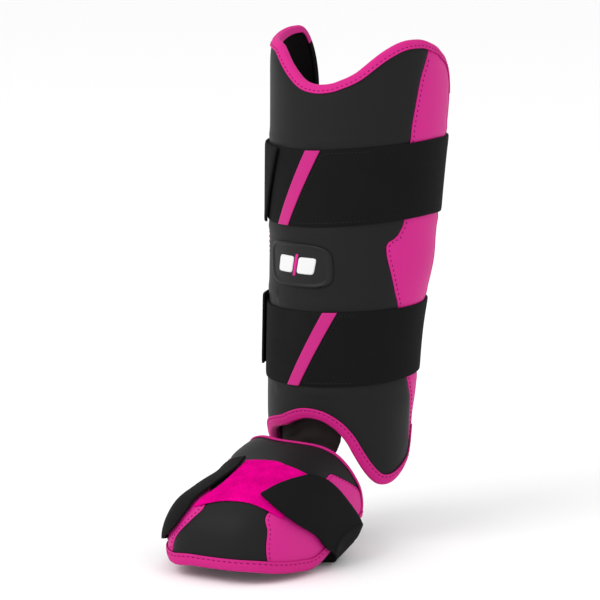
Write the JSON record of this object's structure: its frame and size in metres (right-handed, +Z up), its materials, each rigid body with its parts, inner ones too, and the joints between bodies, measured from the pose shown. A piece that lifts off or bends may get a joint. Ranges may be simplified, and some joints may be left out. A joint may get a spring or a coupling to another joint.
{
  "type": "batter's leg guard",
  "caption": "Padded leg guard: curved shin shell open at the calf with wrap straps, cloth ankle tongue and domed instep guard with a strap under the sole.",
  "frame": {"origin": "on the leg's axis inside the shin guard's hollow, where the leg holds the guard", "axes": "+Z up along the leg, -Y towards the toes, +X towards the viewer's right as seen from the front"},
  "size_m": [0.1466, 0.2923, 0.4008],
  "materials": {
    "shin_liner": "black brushed lining over foam",
    "shin_face": "black synthetic leather, fine grain, satin",
    "side_panel_right": "pink synthetic leather, satin",
    "side_panel_left": "pink synthetic leather, satin",
    "shin_binding_top": "pink stitched edge tape",
    "shin_binding_bottom": "pink stitched edge tape",
    "strap_upper": "black brushed elastic with stitched edges",
    "strap_lower": "black brushed elastic with stitched edges",
    "landing_upper": "black loop fabric",
    "landing_lower": "black loop fabric",
    "stripe_upper": "pink printed band, satin",
    "stripe_lower": "pink printed band, satin",
    "badge": "black moulded rubber, plain",
    "ankle_tongue": "black knitted cloth",
    "foot_liner": "black brushed lining over foam",
    "foot_face": "black synthetic leather, fine grain, satin",
    "foot_panel_right": "pink synthetic leather, satin",
    "foot_panel_left": "pink synthetic leather, satin",
    "foot_binding_front": "pink stitched edge tape",
    "foot_binding_back": "pink stitched edge tape",
    "loop_pad": "magenta brushed loop pile",
    "foot_strap": "black brushed elastic"
  },
  "bodies": {
    "root": {"shin_liner": "shin_liner", "shin_face": "shin_face", "side_panel_right": "side_panel_right", "side_panel_left": "side_panel_left", "shin_binding_top": "shin_binding_top", "shin_binding_bottom": "shin_binding_bottom", "strap_upper": "strap_upper", "strap_lower": "strap_lower", "landing_upper": "landing_upper", "landing_lower": "landing_lower", "stripe_upper": "stripe_upper", "stripe_lower": "stripe_lower", "badge": "badge", "ankle_tongue": "ankle_tongue", "foot_liner": "foot_liner", "foot_face": "foot_face", "foot_panel_right": "foot_panel_right", "foot_panel_left": "foot_panel_left", "foot_binding_front": "foot_binding_front", "foot_binding_back": "foot_binding_back", "loop_pad": "loop_pad", "foot_strap": "foot_strap"}
  },
  "joints": []
}
